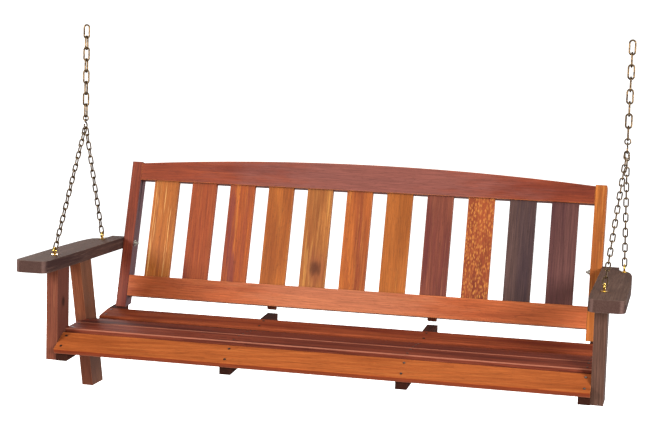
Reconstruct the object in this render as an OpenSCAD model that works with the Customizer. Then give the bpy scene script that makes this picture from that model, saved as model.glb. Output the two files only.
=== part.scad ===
// Porch swing: a slatted bench hung on two V-shaped chain bridles.
// X runs along the bench, -Y is the front, +Z is up. Lengths are in millimetres.
// The origin is on the centre plane, at the bottom centre of the whole object.

/* [Back] */
// Width of one back slat
slat_w = 89; // [70:1:100]
// Clear gap between two back slats
slat_gap = 50; // [40:1:60]
// Thickness of a back slat
slat_t = 18; // [15:1:20]
// Lean of the back from the vertical, in degrees
recline = 16.4; // [12:0.1:18]
// Width of a back post, seen from the front
back_post_w = 38; // [36:1:44]
// Depth of a back post, front to back
back_post_d = 52; // [46:1:60]
// Height of the arch of the top rail over its ends
arch_rise = 33; // [10:1:45]

/* [Seat] */
// Width of one seat board
board_w = 89; // [86:1:92]
// Thickness of a seat board
board_t = 19; // [16:1:20]
// Radius of the eased edges of a seat board
board_ease = 5; // [2:0.5:7]
// Thickness of a bearer under the seat
bearer_w = 36; // [32:1:40]
// Distance of a middle bearer from the centre plane
mid_bearer_x = 278; // [240:1:320]

/* [Arms] */
// Thickness of an arm board
arm_t = 38; // [32:1:44]
// Widest part of an arm
arm_w = 107; // [100:1:120]
// Width of a front post
front_post_w = 38; // [34:1:42]
// Depth of a front post, front to back
front_post_d = 89; // [80:1:95]
// Depth of the slanted leg, measured square to its length
leg_d = 87; // [80:1:92]

/* [Chains] */
// Wire of the upper chain links
wire_d = 6; // [5:0.5:6]
// Inside length of an upper chain link
upper_inner = 38; // [34:1:42]
// Number of links between the hang link and the bridle ring, an odd number
upper_links = 7; // [5:2:11]
// Wire of the bridle rings
ring_wire_d = 4.5; // [4:0.25:5]
// Wire of the branch chain links
branch_wire_d = 4.5; // [4:0.25:4.5]
// Number of links in a front branch, an odd number
front_links = 19; // [17:2:21]
// Number of links in a rear branch, an odd number
rear_links = 15; // [15:2:19]

/* [Hidden] */
$fn = 48;

// Fine gap left round a shank in its hole
hole_gap = 0.25;

// Back. Heights along the back are measured up its sloping front face from the foot of that face,
// and depths straight into it.
slat_count = 11;
slat_pitch = slat_w + slat_gap;
back_half = (slat_count * slat_pitch + slat_gap) / 2;
back_outer = back_half + back_post_w;
rail_d = 38;
slat_in = (rail_d - slat_t) / 2;
mortise = 12;
tenon_play = 0.1;
lower_rail_low = 77;
lower_rail_high = 149;
top_rail_low = 488;
top_rail_end = 547;
post_top = 552;
batten_w = 30;
batten_t = 20;
batten_low = 69;
batten_high = 548;
// Sides in the full circle of the arch, fine enough for its large radius
arch_sides = 1440;

// Seat boards, front to rear: [front edge Y, height there, tilt in degrees], on the top face
boards = [
    [-470, -26, 29],
    [-380, 27, 2.5],
    [-287, 31, -3.5],
    [-195, 24, -8],
    [-101, 19, 9.4]
];
seat_half = 841.5;
bearer_front_y = -450;
bearer_front_low = -66;
// Height of a bearer's front end above the lower edge of the front board
bearer_nose = 4;
heel_y = 80;
heel_low = -34;
heel_top_rear = 38;
heel_top_front = 33;
heel_gap = 4;
heel_front_y = boards[4][0] + board_w * cos(boards[4][2]) + heel_gap;
// Lower and front limits of the slice that the heel takes out of a back post
heel_cut_low = -80;
heel_cut_front = -80;
end_bearer_x = seat_half - bearer_w / 2;
bearer_xs = [-end_bearer_x, -mid_bearer_x, mid_bearer_x, end_bearer_x];

// Arms and ends
arm_low = 229;
arm_front_y = -562;
arm_rear_y = 110;
arm_in = back_outer;
arm_corner = 26;
arm_mid = arm_low + arm_t / 2;
// Outer edge of an arm, front to rear: [distance out from the back post, Y]
arm_tail_w = 54;
arm_edge = [
    [arm_w, -200],
    [arm_w - 4, -74],
    [arm_w - 10, -18],
    [arm_w - 17, 10],
    [arm_w - 26, 20],
    [67, 26],
    [arm_tail_w, 60],
    [arm_tail_w, arm_rear_y]
];
front_post_y = -441;
front_post_low = -67;
leg_low = -213;
leg_lean = 15.1;
leg_foot_y = -148;

// Place of the whole model: the foot of the back's front face, seen from the origin
rear_most = post_top * sin(recline) + back_post_d * cos(recline);
frame_y = -(arm_front_y + rear_most) / 2;
frame_z = -leg_low;

// Chains
slack = 0.3;
hinge_gap = 0.6;
link_in_w = 12;
branch_in_w = 9;
ring_r = 9;
hook_wire_d = 5;
hook_top_r = ring_wire_d / 2 + hinge_gap + hook_wire_d / 2;
hook_low_r = 11;
// How far round, in degrees, the hook's two loops go from the middle of the S
hook_top_bend = 260;
hook_low_bend = 300;
ring_x = 897;
ring_y = -103.8;
ring_low_z = 681;
eye_r = 9;
eye_wire_d = 6;
eye_lift = 15;
shank_d = 8;
washer_r = 11;
washer_t = 2;
nut_across = 13;
nut_t = 6.5;
eye_z = arm_low + arm_t + eye_lift;
front_eye = [865, -414, eye_z];
// The rear eye stands nearer the edge of the right-hand arm
function rear_eye(side) = [side < 0 ? 878 : 902, 6, eye_z];
upper_pitch = upper_inner - slack;
// Heights of the two swinging axes: through the bridle rings and through the hang links
low_axis_z = ring_low_z;
first_link_drop = upper_inner / 2 - wire_d / 2 - hinge_gap;
last_link_drop = upper_inner / 2 - ring_wire_d / 2 - slack;
top_axis_z = low_axis_z + 2 * ring_r + last_link_drop + (upper_links - 1) * upper_pitch + first_link_drop;
hook_eye = [ring_x, ring_y, low_axis_z - hook_top_r - hook_low_r];

// Fasteners
bolt_d = 8;
bolt_head_r = 9;
bolt_head_t = 4;
// Bare end of a bolt beyond the face its washer lies on
bolt_tail = 14;
// Reach of the eye bolts into a front post and below the arm at the rear
front_eye_below = 68;
rear_eye_below = 16;
arm_bolt_y = 88;
arm_bolt_out = arm_in + arm_tail_w;
frame_bolt_in = seat_half - bearer_w;
frame_bolt_reach = 30;
front_bolt = [-397, -36];
leg_bolt = [-150, -26];
screw_d = 4;
screw_head_r = 4.2;
screw_head_h = 0.8;
seat_screw_len = 48;
// Places of the two screws across a seat board, as shares of its width
board_screws = [0.22, 0.78];
rail_screw_in = 45;
rail_screw_heights = [lower_rail_low + 18, lower_rail_high - 18, top_rail_low + 16, top_rail_end - 14];
batten_screw_len = batten_t + 28;
batten_screw_heights = [(lower_rail_low + lower_rail_high) / 2, (top_rail_low + top_rail_end) / 2];

// ---------- shared shapes ----------

module framed() { translate([0, frame_y, frame_z]) children(); }

// The right-hand side as drawn, or its mirror image
module on_side(side) { mirror([side < 0 ? 1 : 0, 0, 0]) children(); }

module both_sides() {
    children();
    mirror([1, 0, 0]) children();
}

// Local frame of the back: X along the bench, Y into the back, Z up its slope
module on_back() { rotate([-recline, 0, 0]) children(); }

module bar(low, high) { translate(low) cube(high - low); }

module rod(d, length) { cylinder(d = d, h = length); }

// A rod along +X from a point
module x_rod(at, d, length) { translate(at) rotate([0, 90, 0]) rod(d, length); }

// A rectangle from the origin with round corners
module eased_rect(w, h, r) {
    translate([r, 0]) square([w - 2 * r, h]);
    translate([0, r]) square([w, h - 2 * r]);
    for (x = [r, w - r])
        for (y = [r, h - r])
            translate([x, y]) circle(r = r);
}

module hex_nut(across, thickness, bore) {
    difference() {
        cylinder(d = across / cos(30), h = thickness, $fn = 6);
        translate([0, 0, -1]) cylinder(d = bore, h = thickness + 2);
    }
}

module flat_washer(r, thickness, bore) {
    difference() {
        cylinder(r = r, h = thickness);
        translate([0, 0, -1]) cylinder(d = bore, h = thickness + 2);
    }
}

// ---------- back ----------

module back_post() {
    framed() difference() {
        on_back() bar([back_half, 0, heel_low], [back_outer, back_post_d, post_top]);
        bar([back_half - 1, heel_cut_front, heel_cut_low],
            [back_outer + 1, heel_front_y + 1, heel_top_front]);
        heel_shape(back_half - 1, back_post_w + 2);
        x_rod([back_half - 1, arm_bolt_y, arm_mid], bolt_d + 2 * hole_gap, back_post_w + 2);
        on_back() rail_screw_shanks(2 * hole_gap);
    }
}

module mortises(low) {
    for (i = [0:slat_count - 1])
        translate([slat_x(i) - slat_w / 2 - tenon_play, slat_in - tenon_play, low])
            cube([slat_w + 2 * tenon_play, slat_t + 2 * tenon_play, mortise + 1]);
}

function slat_x(i) = (i - (slat_count - 1) / 2) * slat_pitch;

// Radius of the arch through both rail ends and the raised middle
function arch_radius() = (back_half * back_half + arch_rise * arch_rise) / (2 * arch_rise);

module top_rail() {
    color("sienna") framed() on_back() difference() {
        intersection() {
            bar([-back_half, 0, top_rail_low], [back_half, rail_d, top_rail_end + arch_rise]);
            translate([0, -1, top_rail_end + arch_rise - arch_radius()])
                rotate([-90, 0, 0]) cylinder(r = arch_radius(), h = rail_d + 2, $fn = arch_sides);
        }
        mortises(top_rail_low - 1);
        both_sides() rail_screw_shanks(2 * hole_gap);
        batten_screw_shanks(2 * hole_gap);
    }
}

module lower_rail() {
    color("chocolate") framed() on_back() difference() {
        bar([-back_half, 0, lower_rail_low], [back_half, rail_d, lower_rail_high]);
        mortises(lower_rail_high - mortise);
        both_sides() rail_screw_shanks(2 * hole_gap);
        batten_screw_shanks(2 * hole_gap);
    }
}

module back_slat(i, tint) {
    low = lower_rail_high - mortise + tenon_play;
    high = top_rail_low + mortise - 2 * tenon_play;
    color(tint) framed() on_back()
        bar([slat_x(i) - slat_w / 2, slat_in, low], [slat_x(i) + slat_w / 2, slat_in + slat_t, high]);
}

module batten() {
    framed() on_back() difference() {
        bar([mid_bearer_x - batten_w / 2, rail_d, batten_low],
            [mid_bearer_x + batten_w / 2, rail_d + batten_t, batten_high]);
        batten_screw_shanks(2 * hole_gap);
    }
}

// ---------- seat ----------

function board_point(b, along, down) = [
    b[0] + along * cos(b[2]) + down * sin(b[2]),
    b[1] + along * sin(b[2]) - down * cos(b[2])
];

module seat_board(n, tint) {
    b = boards[n];
    color(tint) framed() difference() {
        translate([-seat_half, b[0], b[1]]) rotate([b[2], 0, 0]) translate([0, 0, -board_t])
            rotate([90, 0, 90]) linear_extrude(2 * seat_half) eased_rect(board_w, board_t, board_ease);
        board_screw_shanks(n, 2 * hole_gap);
    }
}

// Side outline of a bearer, in Y and Z: it follows the undersides of the boards
function bearer_top() = [
    for (b = boards) each [board_point(b, 0, board_t), board_point(b, board_w, board_t)]
];

function bearer_outline() = concat(
    [[bearer_front_y, bearer_front_low]],
    [[bearer_front_y, board_point(boards[0], 0, board_t)[1] + bearer_nose]],
    [for (i = [1:len(bearer_top()) - 1]) bearer_top()[i]],
    [[heel_front_y, board_point(boards[4], board_w, board_t)[1]]],
    [[heel_front_y, heel_top_front], [heel_y, heel_top_rear], [heel_y, heel_low]]
);

module heel_shape(x, w) {
    translate([x, 0, 0]) rotate([90, 0, 90]) linear_extrude(w)
        polygon([
            [heel_front_y, heel_cut_low],
            [heel_front_y, heel_top_front],
            [heel_y, heel_top_rear],
            [heel_y, heel_cut_low]
        ]);
}

module bearer(x) {
    color("saddlebrown") framed() difference() {
        translate([x - bearer_w / 2, 0, 0]) rotate([90, 0, 90]) linear_extrude(bearer_w)
            polygon(bearer_outline());
        for (n = [0:len(boards) - 1])
            board_screw_shanks(n, 2 * hole_gap);
        each_frame_bolt() frame_bolt_shank($place, 2 * hole_gap);
    }
}

// ---------- arms, posts and legs ----------

module arm_plan() {
    corner_y = arm_front_y + arm_corner;
    translate([arm_in, 0]) {
        polygon(concat([[0, corner_y], [arm_w, corner_y]], arm_edge, [[0, arm_rear_y]]));
        translate([arm_corner, arm_front_y]) square([arm_w - 2 * arm_corner, arm_corner + 1]);
        for (x = [arm_corner, arm_w - arm_corner])
            translate([x, corner_y]) circle(r = arm_corner);
    }
}

module arm(side) {
    color("dimgray") framed() on_side(side) difference() {
        translate([0, 0, arm_low]) linear_extrude(arm_t) arm_plan();
        for (e = [front_eye, rear_eye(side)])
            translate([e[0], e[1], arm_low - 1]) rod(shank_d + 2 * hole_gap, arm_t + 2);
        x_rod([arm_in - 1, arm_bolt_y, arm_mid], bolt_d + 2 * hole_gap, arm_w);
    }
}

module front_post() {
    framed() difference() {
        bar([seat_half, front_post_y, front_post_low],
            [seat_half + front_post_w, front_post_y + front_post_d, arm_low]);
        translate([front_eye[0], front_eye[1], arm_low - front_eye_below - 2])
            rod(shank_d + 2 * hole_gap, front_eye_below + 3);
        frame_bolt_shank(front_bolt, 2 * hole_gap);
    }
}

module slanted_leg() {
    run = leg_d / cos(leg_lean);
    rise = arm_low - leg_low;
    shift = -rise * tan(leg_lean);
    color("sienna") framed() difference() {
        translate([seat_half, 0, 0]) rotate([90, 0, 90]) linear_extrude(front_post_w)
            polygon([
                [leg_foot_y, leg_low],
                [leg_foot_y + run, leg_low],
                [leg_foot_y + run + shift, arm_low],
                [leg_foot_y + shift, arm_low]
            ]);
        frame_bolt_shank(leg_bolt, 2 * hole_gap);
    }
}

// ---------- fasteners ----------

module eye_bolt(at, below) {
    color("gold") framed() translate(at) {
        rotate([0, 90, 0]) rotate_extrude() translate([eye_r, 0]) circle(d = eye_wire_d);
        translate([0, 0, -eye_lift - arm_t - below])
            rod(shank_d, eye_lift + arm_t + below - eye_r);
    }
}

module eye_washer(at) {
    translate([at[0], at[1], arm_low + arm_t]) flat_washer(washer_r, washer_t, shank_d + 2 * hole_gap);
}

module eye_bolt_washers() {
    color("goldenrod") framed() for (side = [-1, 1])
        on_side(side) {
            eye_washer(front_eye);
            eye_washer(rear_eye(side));
            translate([rear_eye(side)[0], rear_eye(side)[1], arm_low - washer_t])
                flat_washer(washer_r, washer_t, shank_d + 2 * hole_gap);
        }
}

module eye_bolt_nuts() {
    color("goldenrod") framed() for (side = [-1, 1])
        on_side(side) translate([rear_eye(side)[0], rear_eye(side)[1], arm_low - washer_t - nut_t])
            hex_nut(nut_across, nut_t, shank_d + 2 * hole_gap);
}

module arm_bolts() {
    color("silver") framed() both_sides() {
        x_rod([back_half - bolt_tail, arm_bolt_y, arm_mid], bolt_d,
              arm_bolt_out + washer_t - back_half + bolt_tail);
        x_rod([arm_bolt_out + washer_t, arm_bolt_y, arm_mid], 2 * bolt_head_r, bolt_head_t);
    }
}

module arm_bolt_washers() {
    color("silver") framed() both_sides()
        for (x = [back_half - washer_t, arm_bolt_out])
            translate([x, arm_bolt_y, arm_mid]) rotate([0, 90, 0])
                flat_washer(washer_r, washer_t, bolt_d + 2 * hole_gap);
}

module arm_bolt_nuts() {
    color("silver") framed() both_sides()
        translate([back_half - washer_t - nut_t, arm_bolt_y, arm_mid]) rotate([0, 90, 0])
            hex_nut(nut_across, nut_t, bolt_d + 2 * hole_gap);
}

// Draws its children on each side for every bolt there, with the bolt's place in $place.
// The slanted leg stands on the left only.
module each_frame_bolt() {
    for (side = [-1, 1])
        on_side(side) for ($place = side < 0 ? [front_bolt, leg_bolt] : [front_bolt])
            children();
}

// A bolt goes from the inside through an end bearer into the post or leg outside it
module frame_bolt_shank(place, extra) {
    x_rod([frame_bolt_in - washer_t, place[0], place[1]], bolt_d + extra,
          washer_t + bearer_w + frame_bolt_reach + extra);
}

module frame_bolts() {
    color("silver") framed() each_frame_bolt() {
        frame_bolt_shank($place, 0);
        translate([frame_bolt_in - washer_t - nut_t, $place[0], $place[1]]) rotate([0, 90, 0])
            cylinder(d = nut_across / cos(30), h = nut_t, $fn = 6);
    }
}

module frame_bolt_washers() {
    color("silver") framed() each_frame_bolt()
        translate([frame_bolt_in - washer_t, $place[0], $place[1]]) rotate([0, 90, 0])
            flat_washer(washer_r, washer_t, bolt_d + 2 * hole_gap);
}

// Shanks of the screws that hold board n to the bearers, square to the board
module board_screw_shanks(n, extra) {
    b = boards[n];
    for (x = bearer_xs)
        for (share = board_screws)
            translate([x, b[0], b[1]]) rotate([b[2], 0, 0])
                translate([0, share * board_w, -seat_screw_len - extra])
                    rod(screw_d + extra, seat_screw_len + 2 * extra);
}

module seat_screws() {
    color("gray") framed() for (n = [0:len(boards) - 1]) {
        board_screw_shanks(n, 0);
        for (x = bearer_xs)
            for (share = board_screws)
                translate([x, boards[n][0], boards[n][1]]) rotate([boards[n][2], 0, 0])
                    translate([0, share * board_w, 0]) rod(2 * screw_head_r, screw_head_h);
    }
}

// Shanks of the screws at the right-hand ends of the rails, in the back's own frame
module rail_screw_shanks(extra) {
    for (s = rail_screw_heights)
        x_rod([back_half - rail_screw_in, rail_d / 2, s], screw_d + extra,
              back_post_w + rail_screw_in + extra);
}

module rail_screws() {
    color("gray") framed() both_sides() on_back() {
        rail_screw_shanks(0);
        for (s = rail_screw_heights)
            x_rod([back_outer, rail_d / 2, s], 2 * screw_head_r, screw_head_h);
    }
}

module batten_screw_shanks(extra) {
    both_sides() for (s = batten_screw_heights)
        translate([mid_bearer_x, rail_d + batten_t + extra, s]) rotate([90, 0, 0])
            rod(screw_d + extra, batten_screw_len + 2 * extra);
}

module batten_screws() {
    color("gray") framed() on_back() {
        batten_screw_shanks(0);
        both_sides() for (s = batten_screw_heights)
            translate([mid_bearer_x, rail_d + batten_t + screw_head_h, s]) rotate([90, 0, 0])
                rod(2 * screw_head_r, screw_head_h);
    }
}

// ---------- chains ----------

// One oval link standing on Z in the X-Z plane, centred on the origin
module link(inner, inner_w, d) {
    r = (inner_w + d) / 2;
    half = (inner - inner_w) / 2;
    for (end = [0, 180])
        rotate([0, end, 0]) translate([0, 0, half]) rotate([90, 0, 0])
            rotate_extrude(angle = 180) translate([r, 0]) circle(d = d);
    for (x = [-r, r])
        translate([x, 0, -half]) rod(d, 2 * half);
}

module hang_link() {
    color("darkgoldenrod") framed()
        translate([ring_x, ring_y, top_axis_z + upper_inner / 2 + wire_d / 2])
            link(upper_inner, link_in_w, wire_d);
}

module upper_chain() {
    color("darkgoldenrod") framed()
        for (i = [0:upper_links - 1])
            translate([ring_x, ring_y, top_axis_z - first_link_drop - i * upper_pitch])
                rotate([0, 0, i % 2 == 0 ? 90 : 0]) link(upper_inner, link_in_w, wire_d);
}

module bridle_ring() {
    color("darkgoldenrod") framed()
        translate([ring_x, ring_y, low_axis_z + ring_r]) rotate([90, 0, 0])
            rotate_extrude() translate([ring_r, 0]) circle(d = ring_wire_d);
}

module s_hook() {
    color("darkgoldenrod") framed() translate([ring_x, ring_y, low_axis_z]) rotate([90, 0, 90]) {
        rotate([0, 0, -90]) rotate_extrude(angle = -hook_top_bend)
            translate([hook_top_r, 0]) circle(d = hook_wire_d);
        translate([0, -hook_top_r - hook_low_r, 0]) rotate([0, 0, 90]) rotate_extrude(angle = -hook_low_bend)
            translate([hook_low_r, 0]) circle(d = hook_wire_d);
    }
}

// A straight run of links from an eye bolt up to the lower loop of the hook
module branch_chain(eye, count) {
    way = hook_eye - eye;
    span = norm(way);
    up = way / span;
    eye_reach = eye_r - eye_wire_d / 2 - branch_wire_d / 2 - slack;
    hook_reach = hook_low_r - hook_wire_d / 2 - branch_wire_d / 2 - slack;
    pitch = (span - eye_reach - hook_reach - branch_wire_d - slack) / count;
    inner = pitch + slack;
    color("darkgoldenrod") framed() translate(eye) rotate([-asin(up[1]), atan2(up[0], up[2]), 0])
        for (i = [0:count - 1])
            translate([0, 0, eye_reach + branch_wire_d / 2 + inner / 2 + i * pitch])
                rotate([0, 0, i % 2 == 0 ? 0 : 90]) link(inner, branch_in_w, branch_wire_d);
}

// ---------- the nodes ----------

color("indianred") on_side(-1) back_post();  // left_back_post
color("peru") back_post();  // right_back_post
top_rail();
lower_rail();
back_slat(0, "goldenrod");  // back_slat_01
back_slat(1, "sienna");  // back_slat_02
back_slat(2, "brown");  // back_slat_03
back_slat(3, "peru");  // back_slat_04
back_slat(4, "darkgoldenrod");  // back_slat_05
back_slat(5, "sienna");  // back_slat_06
back_slat(6, "sandybrown");  // back_slat_07
back_slat(7, "maroon");  // back_slat_08
back_slat(8, "peru");  // back_slat_09
back_slat(9, "black");  // back_slat_10
back_slat(10, "maroon");  // back_slat_11
color("saddlebrown") on_side(-1) batten();  // left_batten
color("saddlebrown") batten();  // right_batten
seat_board(0, "chocolate");  // seat_board_1_front
seat_board(1, "rosybrown");  // seat_board_2
seat_board(2, "dimgray");  // seat_board_3
seat_board(3, "rosybrown");  // seat_board_4
seat_board(4, "brown");  // seat_board_5_rear
bearer(-end_bearer_x);  // left_end_bearer
bearer(-mid_bearer_x);  // left_middle_bearer
bearer(mid_bearer_x);  // right_middle_bearer
bearer(end_bearer_x);  // right_end_bearer
arm(-1);  // left_arm
arm(1);  // right_arm
color("sienna") on_side(-1) front_post();  // left_front_post
color("dimgray") front_post();  // right_front_post
on_side(-1) slanted_leg();  // left_slanted_leg
on_side(-1) eye_bolt(front_eye, front_eye_below);  // left_front_eye_bolt
on_side(-1) eye_bolt(rear_eye(-1), rear_eye_below);  // left_rear_eye_bolt
eye_bolt(front_eye, front_eye_below);  // right_front_eye_bolt
eye_bolt(rear_eye(1), rear_eye_below);  // right_rear_eye_bolt
eye_bolt_washers();
eye_bolt_nuts();
arm_bolts();
arm_bolt_washers();
arm_bolt_nuts();
frame_bolts();
frame_bolt_washers();
seat_screws();
rail_screws();
batten_screws();
on_side(-1) hang_link();  // left_hang_link
hang_link();  // right_hang_link
on_side(-1) upper_chain();  // left_upper_chain
upper_chain();  // right_upper_chain
on_side(-1) bridle_ring();  // left_bridle_ring
bridle_ring();  // right_bridle_ring
on_side(-1) s_hook();  // left_s_hook
s_hook();  // right_s_hook
on_side(-1) branch_chain(front_eye, front_links);  // left_front_chain
branch_chain(front_eye, front_links);  // right_front_chain
on_side(-1) branch_chain(rear_eye(-1), rear_links);  // left_rear_chain
branch_chain(rear_eye(1), rear_links);  // right_rear_chain
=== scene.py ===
import math

import bpy
from mathutils import Matrix, Vector


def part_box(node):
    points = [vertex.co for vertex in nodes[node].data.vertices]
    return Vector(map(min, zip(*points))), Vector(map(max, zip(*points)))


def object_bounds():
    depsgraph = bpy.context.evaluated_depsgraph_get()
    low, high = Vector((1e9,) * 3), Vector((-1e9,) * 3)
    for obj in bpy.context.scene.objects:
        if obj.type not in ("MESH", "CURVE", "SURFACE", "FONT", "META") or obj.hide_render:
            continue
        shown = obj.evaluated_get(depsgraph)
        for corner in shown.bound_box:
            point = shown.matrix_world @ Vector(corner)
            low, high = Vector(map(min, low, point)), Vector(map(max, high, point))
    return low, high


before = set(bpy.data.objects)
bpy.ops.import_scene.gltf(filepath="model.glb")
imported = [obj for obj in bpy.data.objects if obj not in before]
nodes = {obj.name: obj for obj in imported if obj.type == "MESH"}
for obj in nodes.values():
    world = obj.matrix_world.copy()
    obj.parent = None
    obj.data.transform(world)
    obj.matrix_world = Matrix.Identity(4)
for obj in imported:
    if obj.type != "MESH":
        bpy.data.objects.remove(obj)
cad_low, cad_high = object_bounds()

# Lean of the timber, as the turn about X in degrees that stands it upright
BACK_LEAN = 16.4
LEG_LEAN = -15.1

# Way that the inner faces of the left-hand timbers look, towards the middle of the bench
INWARD_LEFT = (1, 0, 0)

SIDES = ("left", "right")
SLATS = [f"back_slat_{i:02d}" for i in range(1, 12)]
BOARDS = ["seat_board_1_front", "seat_board_2", "seat_board_3", "seat_board_4", "seat_board_5_rear"]
BEARERS = ["left_end_bearer", "left_middle_bearer", "right_middle_bearer", "right_end_bearer"]

# Radii of the eased edges
ROUGH_SAWN_EASE = 0.0015
SLAT_EASE = 0.0022
RAIL_EASE = 0.0035
ARM_EASE = 0.006
NUT_EASE = 0.0006

# Finishes duller than the varnish elsewhere: behind the back and under the seat, and on the seat
DULL = dict(rough=0.78, gleam=0.03, coat=0.0, edge_highlight_share=0.25)
SEAT_FINISH = dict(rough=0.66, gleam=0.05, coat=0.0)


# ---------- node helpers ----------

def linear(code):
    """A colour given as #rrggbb, as the shader wants it."""
    parts = [int(code[i:i + 2], 16) / 255 for i in (1, 3, 5)]
    return (*[c / 12.92 if c <= 0.04045 else ((c + 0.055) / 1.055) ** 2.4 for c in parts], 1)


class Tree:
    """Short calls for building a material's nodes."""

    def __init__(self, material):
        material.use_nodes = True
        self.nodes = material.node_tree.nodes
        self.links = material.node_tree.links
        self.nodes.clear()

    def fill(self, socket, value):
        """Links a socket to another node's output, or sets its own value."""
        if isinstance(value, bpy.types.NodeSocket):
            self.links.new(value, socket)
        else:
            socket.default_value = value

    def add(self, kind, inputs=(), **settings):
        made = self.nodes.new(kind)
        for key, value in settings.items():
            setattr(made, key, value)
        for key, value in dict(inputs).items():
            self.fill(made.inputs[key], value)
        return made

    def math(self, operation, a, b=0.0):
        return self.add("ShaderNodeMath", {0: a, 1: b}, operation=operation).outputs[0]

    def scaled(self, value, factor, base):
        """The value times the factor, plus the base."""
        made = self.add("ShaderNodeMath", {0: value, 1: factor, 2: base}, operation="MULTIPLY_ADD")
        return made.outputs[0]

    def vector(self, operation, a, b):
        made = self.add("ShaderNodeVectorMath", {0: a, 1: b}, operation=operation)
        return made.outputs["Value" if operation in ("DOT_PRODUCT", "LENGTH") else "Vector"]

    def stretched(self, space, scale):
        return self.add("ShaderNodeMapping", {"Vector": space, "Scale": scale}).outputs[0]

    def noise(self, space, scale, detail=3.0, rough=0.55):
        made = self.add("ShaderNodeTexNoise", {
            "Vector": self.stretched(space, scale), "Scale": 1.0, "Detail": detail, "Roughness": rough})
        return made.outputs["Fac"]

    def step(self, value, low, high):
        """0 below low, 1 above high, smooth between them."""
        return self.add("ShaderNodeMapRange", {
            "Value": value, "From Min": low, "From Max": high}, interpolation_type="SMOOTHSTEP").outputs[0]

    def mix(self, share, a, b, blend="MIX"):
        made = self.add("ShaderNodeMix", data_type="RGBA", blend_type=blend)
        for socket, value in ((made.inputs[0], share), (made.inputs[6], a), (made.inputs[7], b)):
            self.fill(socket, value)
        return made.outputs[2]

    def shader(self, **inputs):
        made = self.add("ShaderNodeBsdfPrincipled")
        for key, value in inputs.items():
            self.fill(made.inputs[key.replace("_", " ")], value)
        out = self.add("ShaderNodeOutputMaterial")
        self.links.new(made.outputs[0], out.inputs[0])
        return made


# ---------- wood ----------

# Scales of the grain's noises, in cells per metre across the timber, twice, and along it
DRIFT_SCALE = (7, 7, 1.1)
BROAD_SCALE = (16, 16, 1.6)
BAND_SCALE = (120, 120, 4.0)
FIBRE_SCALE = (360, 360, 11)
PORE_SCALE = (950, 950, 42)
EDGE_HIGHLIGHT_SCALE = (60, 60, 18)

# How far a timber's pattern is moved for one step of its seed, so that no two timbers match
SEED_MOVE = (1.37, 2.11, 0.73)

# Dark colours of pores, of the painted shade in crevices, and of end grain
PORE_COLOUR = "#2a120c"
CREVICE_SHADE_COLOUR = "#2a130c"
END_COLOUR = "#2b1710"

# How near other faces make painted shade in crevices, and how wide the painted highlights on the eased
# edges are
CREVICE_SHADE_REACH = 0.012
EDGE_HIGHLIGHT_WIDTH = 0.003


def upright(along, lean):
    """Rotation that stands a timber lying along X, Y or Z (leaning by some degrees) upright along Z."""
    quarter = math.radians(90)
    return {"X": (0, -quarter, 0), "Y": (quarter, 0, 0), "Z": (math.radians(lean), 0, 0)}[along]


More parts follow.
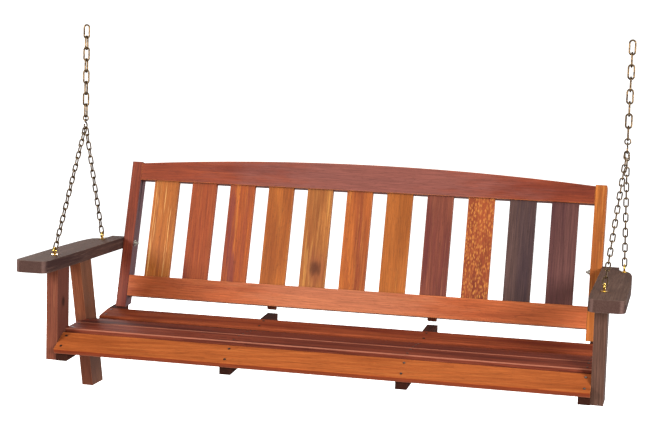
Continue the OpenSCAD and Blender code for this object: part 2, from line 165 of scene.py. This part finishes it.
def wood(name, body, deep, pale, seed, along="X", lean=0.0, ring=0.007, rings=0.5, contrast=0.5,
         marks=(), edge_highlight_colour=None, edge_highlight_share=0.55, rough=0.5, gleam=0.18, coat=0.03):
    """Varnished wood. body, deep and pale are its colours, seed places its pattern, ring is the width of
    a growth ring, and marks are extra features on top of the grain."""
    material = bpy.data.materials.new(name)
    tree = Tree(material)
    place = tree.add("ShaderNodeTexCoord")
    turned = tree.add("ShaderNodeMapping", {
        "Vector": place.outputs["Object"], "Rotation": upright(along, lean)})
    offset = Vector([seed * move for move in SEED_MOVE])
    space = tree.vector("ADD", turned.outputs[0], offset)

    # Growth rings round a pith that lies beside the board, a little out of line with it
    drift = tree.add("ShaderNodeTexNoise", {
        "Vector": tree.stretched(space, DRIFT_SCALE), "Scale": 1.0, "Detail": 2.0})
    bent = tree.vector("MULTIPLY_ADD", drift.outputs["Color"], (0.05, 0.05, 0))
    pith = (0.06 + 0.02 * math.sin(seed), 0.11 + 0.03 * math.cos(seed), 0)
    bent.node.inputs[2].default_value = pith
    around = tree.vector("ADD", turned.outputs[0], bent)
    tilt = tree.add("ShaderNodeMapping", {
        "Vector": around, "Rotation": (0.035 * math.sin(2 * seed), 0.03 * math.cos(3 * seed), 0)})
    wave = tree.add("ShaderNodeTexWave", {
        "Vector": tilt.outputs[0], "Scale": math.pi / 10 / ring, "Distortion": 1.6, "Detail": 2.0,
        "Detail Scale": 1.2, "Detail Roughness": 0.6}, wave_type="RINGS", rings_direction="Z",
        wave_profile="SAW")
    late = tree.step(wave.outputs["Fac"], 0.35, 1.0)

    broad = tree.noise(space, BROAD_SCALE, 2.0)
    bands = tree.noise(space, BAND_SCALE, 4.0, 0.62)
    fibre = tree.noise(space, FIBRE_SCALE, 3.0, 0.65)
    pores = tree.step(tree.noise(space, PORE_SCALE, 1.0), 0.64, 0.74)

    colour = tree.mix(tree.step(broad, 0.40, 0.72), linear(body), linear(deep))
    colour = tree.mix(tree.math("MULTIPLY", tree.step(bands, 0.50, 0.80), contrast), colour, linear(pale))
    colour = tree.mix(tree.math("MULTIPLY", tree.step(bands, 0.50, 0.24), contrast), colour, linear(deep))
    colour = tree.mix(tree.math("MULTIPLY", late, rings), colour, linear(deep))
    for mark in marks:
        colour = mark(tree, space, place.outputs["Object"], colour)
    shade = tree.scaled(fibre, 1.3, 0.36)
    grey = tree.add("ShaderNodeCombineColor", {"Red": shade, "Green": shade, "Blue": shade}).outputs[0]
    colour = tree.mix(1.0, colour, grey, "MULTIPLY")
    colour = tree.mix(tree.math("MULTIPLY", pores, 0.55), colour, linear(PORE_COLOUR))

    # Painted shade: joints and crevices are darkened where other faces are near
    hidden = tree.add("ShaderNodeAmbientOcclusion", {"Distance": CREVICE_SHADE_REACH}, samples=4)
    crevice_shade = tree.step(hidden.outputs["AO"], 0.80, 0.35)
    colour = tree.mix(tree.math("MULTIPLY", crevice_shade, 0.75), colour, linear(CREVICE_SHADE_COLOUR))

    # End grain is darker, and the eased edges are lighter with a painted highlight, broken up unevenly
    facing = tree.vector("DOT_PRODUCT", place.outputs["Normal"], end_direction(along, lean))
    end = tree.step(tree.math("ABSOLUTE", facing), 0.85, 0.97)
    colour = tree.mix(tree.math("MULTIPLY", end, 0.6), colour, linear(END_COLOUR))
    uneven = tree.step(tree.noise(space, EDGE_HIGHLIGHT_SCALE, 2.0), 0.2, 0.55)
    edge_highlight_mask = tree.math("MULTIPLY", edge_mask(tree, EDGE_HIGHLIGHT_WIDTH), uneven)
    colour = tree.mix(tree.math("MULTIPLY", edge_highlight_mask, edge_highlight_share), colour, linear(edge_highlight_colour or pale))

    gloss = tree.scaled(fibre, 0.16, rough - 0.08)
    gloss = tree.math("ADD", gloss, tree.math("MULTIPLY", end, 0.2))
    height = tree.math("ADD", tree.math("MULTIPLY", fibre, 0.5), tree.math("MULTIPLY", late, 0.25))
    height = tree.math("SUBTRACT", height, tree.math("MULTIPLY", pores, 0.8))
    bump = tree.add("ShaderNodeBump", {"Height": height, "Strength": 0.28, "Distance": 0.0004})
    tree.shader(Base_Color=colour, Roughness=gloss, Normal=bump.outputs[0], Specular_IOR_Level=gleam,
                Coat_Weight=coat, Coat_Roughness=0.25, IOR=1.45)
    return material


def end_direction(along, lean):
    """Way that the end grain of a timber faces."""
    turn = math.radians(lean)
    return {"X": (1, 0, 0), "Y": (0, 1, 0), "Z": (0, math.sin(turn), math.cos(turn))}[along]


def edge_mask(tree, radius):
    """1 on convex edges and 0 on flat faces."""
    rounded = tree.add("ShaderNodeBevel", {"Radius": radius}, samples=4)
    flat = tree.add("ShaderNodeNewGeometry")
    same = tree.vector("DOT_PRODUCT", rounded.outputs[0], flat.outputs["Normal"])
    return tree.step(same, 0.985, 0.86)


def streaks(colour, share, width=0.02, amount=0.9, shift=0.0, longer=18.0):
    """Long stripes of another colour along the grain, longer than wide by some factor."""
    def apply(tree, space, _, under):
        moved = tree.vector("ADD", space, (shift, shift, 0))
        field = tree.noise(moved, (1 / width, 1 / width, 1 / width / longer), 3.0, 0.5)
        mask = tree.step(field, 0.75 - 0.5 * share, 0.81 - 0.5 * share)
        return tree.mix(tree.math("MULTIPLY", mask, amount), under, linear(colour))
    return apply


def flecks(colour, size=0.008, amount=0.8):
    """Short pale rays that cover the whole face, as in lacewood."""
    def apply(tree, space, _, under):
        cells = tree.add("ShaderNodeTexVoronoi", {
            "Vector": tree.stretched(space, (1 / size, 1 / size, 0.4 / size)), "Scale": 1.0,
            "Randomness": 1.0}, feature="F1")
        spread = tree.step(tree.noise(space, (40, 40, 22), 2.0), 0.25, 0.5)
        mask = tree.math("MULTIPLY", tree.step(cells.outputs["Distance"], 0.5, 0.2), spread)
        return tree.mix(tree.math("MULTIPLY", mask, amount), under, linear(colour))
    return apply


def patch(colour, centre, reach, amount=0.8, ragged=0.9):
    """A cloudy area of another colour round a place, with half sizes reach along X, Y and Z."""
    def apply(tree, space, place, under):
        away = tree.vector("SUBTRACT", place, Vector(centre))
        away = tree.vector("DIVIDE", away, Vector(reach))
        away = tree.vector("LENGTH", away, (0, 0, 0))
        cloud = tree.noise(space, (45, 45, 9), 3.0, 0.6)
        frayed = tree.math("ADD", away, tree.math("MULTIPLY", tree.math("SUBTRACT", cloud, 0.5), ragged))
        mask = tree.step(frayed, 1.0, 0.25)
        return tree.mix(tree.math("MULTIPLY", mask, amount), under, linear(colour))
    return apply


def face_tint(colour, direction, amount=0.8, narrow=0.55, full=0.85):
    """Another colour on the faces that look one way: none below the cosine narrow, all of it above full."""
    def apply(tree, space, _, under):
        normal = tree.add("ShaderNodeTexCoord").outputs["Normal"]
        facing = tree.vector("DOT_PRODUCT", normal, Vector(direction).normalized())
        mask = tree.step(facing, narrow, full)
        return tree.mix(tree.math("MULTIPLY", mask, amount), under, linear(colour))
    return apply


# ---------- metal ----------

# How near another face gathers dirt on metal
DIRT_REACH = 0.006


def metal(name, colour, tarnish, dirt, rough=0.3, patina=0.5, scale=90.0):
    """Plated metal with dull patches, specks of dirt and dark crevices."""
    material = bpy.data.materials.new(name)
    tree = Tree(material)
    place = tree.add("ShaderNodeTexCoord").outputs["Object"]
    dull = tree.step(tree.noise(place, (scale,) * 3, 4.0, 0.6), 0.62 - 0.3 * patina, 0.72 - 0.1 * patina)
    speck = tree.step(tree.noise(place, (scale * 9,) * 3, 2.0), 0.60, 0.74)
    base = tree.mix(dull, linear(colour), linear(tarnish))
    base = tree.mix(tree.math("MULTIPLY", speck, 0.5), base, linear(dirt))
    hidden = tree.add("ShaderNodeAmbientOcclusion", {"Distance": DIRT_REACH}, samples=4)
    base = tree.mix(tree.step(hidden.outputs["AO"], 0.75, 0.2), base, linear(dirt))
    gloss = tree.scaled(dull, 0.22, rough)
    bump = tree.add("ShaderNodeBump", {
        "Height": tree.noise(place, (scale * 6,) * 3, 3.0), "Strength": 0.12, "Distance": 0.0003})
    tree.shader(Base_Color=base, Roughness=gloss, Metallic=0.95, Normal=bump.outputs[0])
    return material


# ---------- edges ----------

# Points nearer than this are joined, and edges where the faces turn by more degrees than this are eased
WELD_REACH = 1e-5
SHARP_CORNER = 35


def ease(node, width, segments=3):
    """Rounds the sharp edges of a CAD solid with modifiers, so its own mesh is left as it is."""
    weld = node.modifiers.new("weld", "WELD")
    weld.merge_threshold = WELD_REACH
    bevel = node.modifiers.new("eased edges", "BEVEL")
    bevel.width = width
    bevel.segments = segments
    bevel.limit_method = "ANGLE"
    bevel.angle_limit = math.radians(SHARP_CORNER)
    even = node.modifiers.new("even shading", "WEIGHTED_NORMAL")
    even.weight = 100
    even.keep_sharp = False


def dress(name, material, width=0.0):
    """Gives a node its material and its slot, and eases its edges by a width."""
    node = nodes[name]
    node.data.materials.clear()
    node.data.materials.append(material)
    if width:
        ease(node, width)


# ---------- the back ----------

SLAT_WOODS = [
    dict(body="#b0642a", deep="#8e4a1c", pale="#cc8840", contrast=0.6, rings=0.3,
         marks=(streaks("#e2a662", 0.38, 0.0075, 0.85, 0.0, 34),
                streaks("#884220", 0.28, 0.009, 0.5, 4.0, 34))),
    dict(body="#9a4822", deep="#782e1c", pale="#b2602e", contrast=0.6, rings=0.35),
    dict(body="#a85220", deep="#7a3428", pale="#cc7a30", contrast=0.5, rings=0.3,
         marks=(streaks("#c47430", 0.3, 0.022, 0.5), streaks("#6a2c33", 0.3, 0.03, 0.5, 7.0))),
    dict(body="#b26428", deep="#904a1e", pale="#c67e36", contrast=0.5, rings=0.3),
    dict(body="#ae6c34", deep="#8a4c24", pale="#cc8c48", contrast=0.7, rings=0.3,
         marks=(streaks("#c98a45", 0.3, 0.02, 0.6),)),
    dict(body="#b26028", deep="#884022", pale="#d28640", contrast=0.7, rings=0.35,
         marks=(streaks("#74304a", 0.2, 0.03, 0.45, 2.0),)),
    dict(body="#ac6028", deep="#94501f", pale="#c27c38", contrast=0.5, rings=0.3),
    dict(body="#8a4c34", deep="#66302a", pale="#a66848", contrast=0.6, rings=0.25),
    dict(body="#9a4a26", deep="#7a3620", pale="#b86a34", contrast=0.5, rings=0.2,
         marks=(flecks("#d0883e", 0.0058, 0.7), flecks("#c07034", 0.0085, 0.45))),
    dict(body="#563e38", deep="#36262c", pale="#6e524c", contrast=0.6, rings=0.3),
    dict(body="#643e38", deep="#46252a", pale="#7c5248", contrast=0.55, rings=0.3),
]


# The slat with a dark smudge, counted from 0, and the smudge's middle as shares of its width and height
SMUDGED_SLAT = 4
SMUDGE_ACROSS = 0.6
SMUDGE_UP = 0.23


def slat_marks(index, own):
    """A slat's own marks, and the dark smudge near the foot of one of them."""
    low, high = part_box(SLATS[index])
    if index != SMUDGED_SLAT:
        return own
    spot = (low.x + SMUDGE_ACROSS * (high.x - low.x), low.y + 0.02, low.z + SMUDGE_UP * (high.z - low.z))
    heart = patch("#4a2414", spot, (0.024, 0.2, 0.034), 0.75, ragged=1.5)
    halo = patch("#8a4a2c", spot, (0.055, 0.2, 0.085), 0.65, ragged=1.3)
    return (*own, halo, heart)


def dress_slats():
    for i, name in enumerate(SLATS):
        looks = dict(SLAT_WOODS[i])
        looks["marks"] = slat_marks(i, looks.get("marks", ()))
        dress(name, wood(name, seed=1.7 * i + 0.6, along="Z", lean=BACK_LEAN, **looks), SLAT_EASE)


def dress_rails():
    """Each rail has a stretch of another colour near its middle: a tone of the wood on the top rail, a
    painted sheen on the lower.
    """
    low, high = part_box("top_rail")
    middle = ((low.x + high.x) / 2 + 0.05, (low.y + high.y) / 2, (low.z + high.z) / 2)
    stretch = patch("#85524a", middle, (0.70, 0.3, 0.3), 0.75)
    rail = wood("top_rail", "#8e3e22", "#722f1e", "#a8522e", seed=21.3, contrast=0.4, rings=0.25,
                edge_highlight_colour="#d07a35", edge_highlight_share=0.9, marks=(stretch,))
    dress("top_rail", rail, RAIL_EASE)
    low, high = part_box("lower_rail")
    middle = ((low.x + high.x) / 2 - 0.03, (low.y + high.y) / 2, (low.z + high.z) / 2)
    # Painted sheen: a paler stretch in the middle of the lower rail
    stretch = patch("#be7c5c", middle, (0.46, 0.3, 0.3), 0.45)
    rail = wood("lower_rail", "#b85f34", "#9c4a28", "#cc7c4c", seed=23.9, contrast=0.5, rings=0.3,
                edge_highlight_colour="#cf7f45", edge_highlight_share=0.8, gleam=0.15, marks=(stretch,))
    dress("lower_rail", rail, RAIL_EASE)


def dress_back_posts():
    """Both posts are dark at the top, and the left one has a purple-grey painted reflection on its inner
    face.
    """
    low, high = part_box("left_back_post")
    # Painted reflection: the left post's inner face is tinted purple-grey
    inner = face_tint("#5e4448", INWARD_LEFT, 0.95)
    cap = patch("#33201c", (high.x, high.y, high.z), (0.3, 0.06, 0.016), 0.85)
    post = wood("left_back_post", "#843c26", "#642a22", "#9a5236", 31.2, "Z", BACK_LEAN, contrast=0.4,
                gleam=0.12, marks=(inner, cap))
    dress("left_back_post", post, SLAT_EASE)
    low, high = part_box("right_back_post")
    cap = patch("#33201c", (high.x, high.y, high.z), (0.3, 0.06, 0.010), 0.7)
    post = wood("right_back_post", "#c4702e", "#98501e", "#de9648", 33.7, "Z", BACK_LEAN, contrast=0.7,
                rings=0.4, marks=(cap,))
    dress("right_back_post", post, SLAT_EASE)


def dress_battens():
    for i, side in enumerate(SIDES):
        name = f"{side}_batten"
        batten = wood(name, "#5a2c1e", "#402018", "#743e2a", 36.1 + i, "Z", BACK_LEAN, **DULL)
        dress(name, batten, SLAT_EASE)


# ---------- the seat and its ends ----------

# The lips of the seat boards have a paler painted highlight, on the faces that look forward and up, and
# forward and down
LIP_HIGHLIGHT_COLOUR = "#b8765c"
UPPER_LIP = (0, -0.78, 0.62)
LOWER_LIP = (0, -0.55, -0.83)

# Way that the front board's face with painted shade looks, forward and down
SHADED_FRONT_FACE = (0, -0.87, -0.48)


def dress_seat():
    # Painted shade on the front board's face that looks forward and down, and a painted highlight on its
    # lower lip
    front_shade_and_highlight = (face_tint("#7a2c17", SHADED_FRONT_FACE), face_tint(LIP_HIGHLIGHT_COLOUR, LOWER_LIP, 0.55, 0.86, 0.96))
    # Painted highlight on the upper front lips of the middle boards
    lip_highlights = (face_tint(LIP_HIGHLIGHT_COLOUR, UPPER_LIP, 0.6, 0.84, 0.95),)
    looks = [
        dict(body="#a8582a", deep="#8c441e", pale="#c2763c", contrast=0.45, rings=0.35, edge_highlight_colour="#d4824c",
             edge_highlight_share=0.7, marks=front_shade_and_highlight),
        dict(body="#7c3a28", deep="#54241c", pale="#9e543c", contrast=0.7, rings=0.45, edge_highlight_colour="#b87058",
             marks=lip_highlights),
        dict(body="#743424", deep="#4e201a", pale="#944a34", contrast=0.7, rings=0.45, edge_highlight_colour="#b87462",
             marks=lip_highlights),
        dict(body="#803a24", deep="#582418", pale="#a05034", contrast=0.7, rings=0.45, edge_highlight_colour="#b46c52",
             marks=lip_highlights),
        dict(body="#94482a", deep="#6e2c1c", pale="#b26038", contrast=0.6, rings=0.4, edge_highlight_colour="#cf7440"),
    ]
    for i, name in enumerate(BOARDS):
        board = wood(name, seed=41.0 + 2.3 * i, **SEAT_FINISH, **looks[i])
        dress(name, board, ROUGH_SAWN_EASE)


def dress_bearers():
    for i, name in enumerate(BEARERS):
        bearer = wood(name, "#4a2820", "#301a16", "#623c2e", 55.0 + 1.9 * i, "Y", contrast=0.5, **DULL)
        dress(name, bearer, ROUGH_SAWN_EASE)


def dress_arms():
    """The arms' front ends and tops have colours of their own."""
    tints = (face_tint("#7a5e56", (0, -1, 0), 0.7, 0.4, 0.8), face_tint("#705648", (0, 0, 1), 0.45))
    for i, side in enumerate(SIDES):
        name = f"{side}_arm"
        arm = wood(name, "#5c443c", "#402e2c", "#82685c", 63.0 + 3.1 * i, "Y", ring=0.010, rings=0.5,
                   contrast=0.8, edge_highlight_colour="#7d6a5e", rough=0.78, gleam=0.05, coat=0.0, marks=tints)
        dress(name, arm, ARM_EASE)


def dress_leg():
    low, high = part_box("left_slanted_leg")
    foot = ((low.x + high.x) / 2, low.y, low.z + 0.08)
    marks = (face_tint("#7a5844", INWARD_LEFT, 0.6), patch("#583026", foot, (0.3, 0.3, 0.26), 0.7))
    leg = wood("left_slanted_leg", "#8a4e32", "#6a3824", "#a66844", 71.0, "Z", LEG_LEAN, contrast=0.5,
               rings=0.35, gleam=0.12, marks=marks)
    dress("left_slanted_leg", leg, SLAT_EASE)


# Height of the knot on the left front post, as a share of the post's own
KNOT_UP = 0.62


def dress_front_posts():
    low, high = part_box("left_front_post")
    knot_at = (high.x, (low.y + high.y) / 2, low.z + KNOT_UP * (high.z - low.z))
    knot = patch("#2c1610", knot_at, (0.02, 0.016, 0.024), 0.9)
    inner = face_tint("#663c32", INWARD_LEFT, 0.85)
    post = wood("left_front_post", "#7e4430", "#5e2e22", "#986040", 77.1, "Z", contrast=0.5, gleam=0.12,
                marks=(inner, knot))
    dress("left_front_post", post, SLAT_EASE)
    post = wood("right_front_post", "#604236", "#4a342a", "#7c5c4e", 79.4, "Z", contrast=0.6, gleam=0.12)
    dress("right_front_post", post, SLAT_EASE)


# ---------- chains and fasteners ----------

# Ends of the names of the pieces that hang the bench
CHAIN_PIECES = ("hang_link", "upper_chain", "bridle_ring", "s_hook", "front_chain", "rear_chain")


def dress_metal():
    brass = metal("tarnished chain", "#7e6648", "#4c3a28", "#1a1008", 0.36, 0.7)
    gold = metal("bright brass", "#e6bd57", "#b48a35", "#4e3411", 0.2, 0.35)
    zinc = metal("zinc plate", "#c9c4b8", "#96918a", "#4a3f36", 0.3, 0.5)
    screw = metal("dark screws", "#5d544d", "#352a24", "#17100c", 0.42, 0.7)
    for name in nodes:
        if name.endswith(CHAIN_PIECES):
            dress(name, brass)
        elif "eye_bolt" in name:
            dress(name, gold, NUT_EASE if name.endswith("nuts") else 0.0)
        elif name.startswith(("arm_bolt", "frame_bolt")):
            dress(name, zinc, NUT_EASE)
        elif name.endswith("screws"):
            dress(name, screw)


# ---------- studio ----------

# How far the bowl's floor lies below the swing
FLOOR_DROP = 0.32


def plain(name, colour, rough, glow):
    """A matt colour that also glows, so that the ground is evenly pale."""
    material = bpy.data.materials.new(name)
    tree = Tree(material)
    place = tree.add("ShaderNodeTexCoord").outputs["Object"]
    faint = tree.mix(tree.noise(place, (3, 3, 3), 2.0), linear(colour), linear("#ffffff"))
    tree.shader(Base_Color=faint, Roughness=rough, Emission_Color=(1, 1, 1, 1), Emission_Strength=glow)
    return material


def make_studio():
    """A pale bowl all round the swing, and soft lights on every side."""
    make_bowl(cad_low.z - FLOOR_DROP, reach=18.0, bend=5.0, wall=12.0)
    world = bpy.data.worlds.new("studio")
    bpy.context.scene.world = world
    world.use_nodes = True
    shade = world.node_tree.nodes["Background"]
    shade.inputs["Color"].default_value = (1, 1, 1, 1)
    shade.inputs["Strength"].default_value = 0.42
    centre = (cad_low + cad_high) / 2
    soft_light("key", centre + Vector((2.9, -3.6, 0.9)), centre, 1.2, 180)
    soft_light("fill", centre + Vector((-3.0, -3.4, 0.9)), centre, 1.2, 140)
    soft_light("top", centre + Vector((0.2, 1.6, 3.0)), centre, 1.2, 30)
    for side in (-1, 1):
        soft_light("rear light", centre + Vector((side * 3.2, 3.4, 0.6)), centre, 1.4, 90)


def make_bowl(floor_z, reach, bend, wall, steps=10, sides=72):
    """A floor that curves up into a wall all round, so that every view has a pale ground.
    Only the camera sees it: the light on the swing comes from the world and the lamps."""
    profile = [(reach - bend, 0.0)]
    for i in range(1, steps + 1):
        turn = math.radians(90) * i / steps
        profile.append((reach - bend + bend * math.sin(turn), bend - bend * math.cos(turn)))
    profile.append((reach, wall))
    verts = [(0, 0, floor_z)]
    for radius, height in profile:
        for j in range(sides):
            turn = 2 * math.pi * j / sides
            verts.append((radius * math.cos(turn), radius * math.sin(turn), floor_z + height))
    faces = [(0, 1 + j, 1 + (j + 1) % sides) for j in range(sides)]
    for i in range(len(profile) - 1):
        for j in range(sides):
            low, after = 1 + i * sides, (j + 1) % sides
            faces.append((low + j, low + sides + j, low + sides + after, low + after))
    mesh = bpy.data.meshes.new("bowl")
    mesh.from_pydata(verts, [], faces)
    for polygon in mesh.polygons:
        polygon.use_smooth = True
    bowl = bpy.data.objects.new("bowl", mesh)
    bpy.context.scene.collection.objects.link(bowl)
    mesh.materials.append(plain("pale ground", "#f4f4f2", 0.9, 0.93))
    bowl.visible_diffuse = False
    bowl.visible_glossy = False
    bowl.visible_transmission = False
    bowl.visible_shadow = False


def soft_light(name, at, target, size, power):
    light = bpy.data.lights.new(name, "AREA")
    light.shape = "SQUARE"
    light.size = size
    light.energy = power
    holder = bpy.data.objects.new(name, light)
    bpy.context.scene.collection.objects.link(holder)
    aim = (target - at).to_track_quat("-Z", "Y")
    holder.matrix_world = Matrix.Translation(at) @ aim.to_matrix().to_4x4()


# The camera's place, the turns that aim it in degrees, its lens in mm, and its shift in frame widths
CAMERA_AT = (1.101, -4.598, 1.174)
CAMERA_TURN = 13.485
CAMERA_DOWN = 6.113
CAMERA_ROLL = 1.727
CAMERA_LENS = 80
CAMERA_SHIFT_X = -0.0029
CAMERA_SHIFT_Y = -0.0216


def make_camera():
    """Stands in front and to the right of the middle, a little above the arms, and looks slightly down."""
    data = bpy.data.cameras.new("camera")
    camera = bpy.data.objects.new("camera", data)
    bpy.context.scene.collection.objects.link(camera)
    bpy.context.scene.camera = camera
    turned = Matrix.Rotation(math.radians(CAMERA_TURN), 4, "Z")
    tilted = Matrix.Rotation(math.pi / 2 - math.radians(CAMERA_DOWN), 4, "X")
    rolled = Matrix.Rotation(math.radians(CAMERA_ROLL), 4, "Z")
    camera.matrix_world = Matrix.Translation(Vector(CAMERA_AT)) @ turned @ tilted @ rolled
    data.sensor_width = 36
    data.lens = CAMERA_LENS
    data.shift_x = CAMERA_SHIFT_X
    data.shift_y = CAMERA_SHIFT_Y
    data.clip_start = 0.05
    data.clip_end = 60
    scene = bpy.context.scene
    scene.view_settings.view_transform = "Standard"
    scene.view_settings.look = "None"


make_camera()
make_studio()
dress_slats()
dress_rails()
dress_back_posts()
dress_battens()
dress_seat()
dress_bearers()
dress_arms()
dress_leg()
dress_front_posts()
dress_metal()
